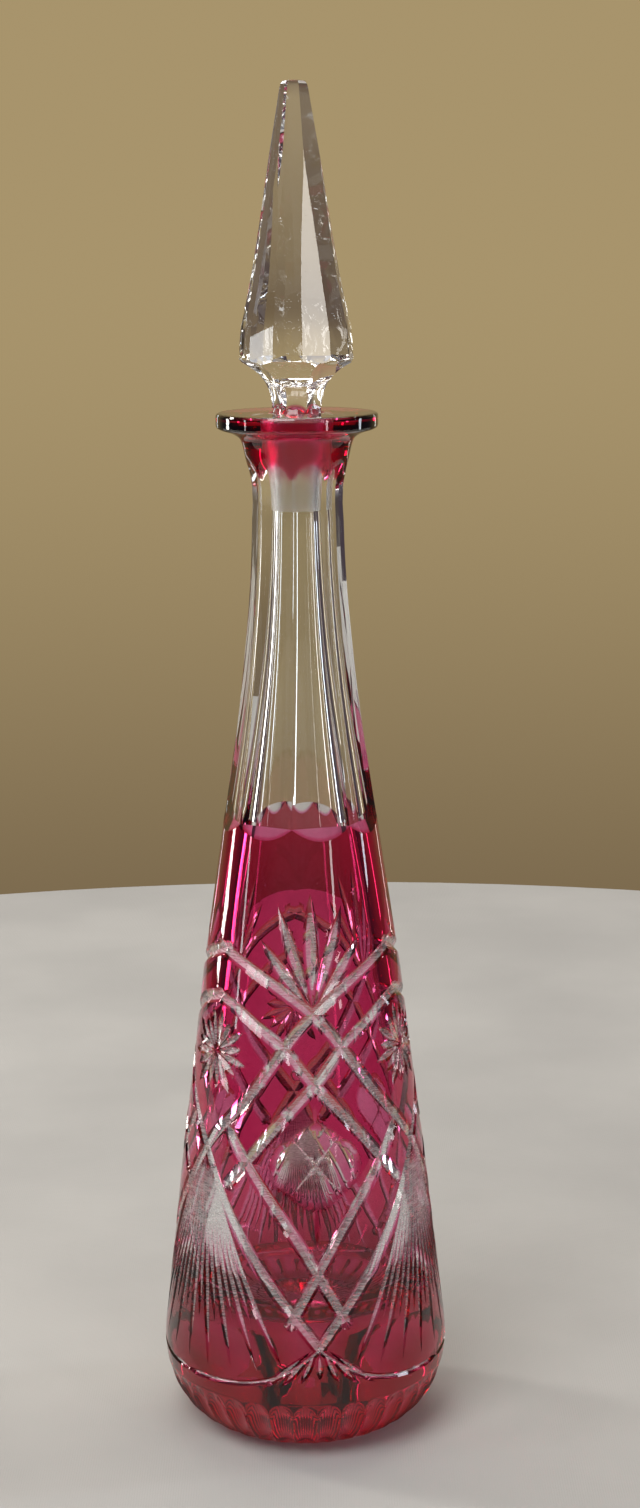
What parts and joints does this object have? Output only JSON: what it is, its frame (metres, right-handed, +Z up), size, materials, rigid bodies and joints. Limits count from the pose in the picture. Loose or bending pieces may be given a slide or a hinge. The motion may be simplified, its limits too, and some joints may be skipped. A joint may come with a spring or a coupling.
{
  "type": "cut crystal decanter",
  "caption": "Tall conical decanter of ruby cased and cut lead crystal, with a panelled clear neck, flared lip and ground steeple stopper.",
  "frame": {"origin": "on the decanter's axis, in the plane the foot stands on", "axes": "+Z up along the axis to the tip of the stopper; -Y towards the side seen first, with one column of the cut pattern 6 degrees round from it towards +X"},
  "size_m": [0.0862, 0.0862, 0.4],
  "materials": {
    "clear_crystal": "polished lead crystal",
    "ruby_glass": "polished ruby casing glass",
    "stopper_crystal": "polished lead crystal with a ground peg"
  },
  "bodies": {
    "decanter": {"crystal_body": "clear_crystal", "body_ruby_casing": "ruby_glass", "lip_ruby_casing": "ruby_glass"},
    "stopper": {"stopper": "stopper_crystal"}
  },
  "joints": [
    {"name": "stopper_lift", "type": "slide", "parent": "decanter", "child": "stopper", "axis": [0, 0, 1], "range_m": [0, 0.08]}
  ]
}
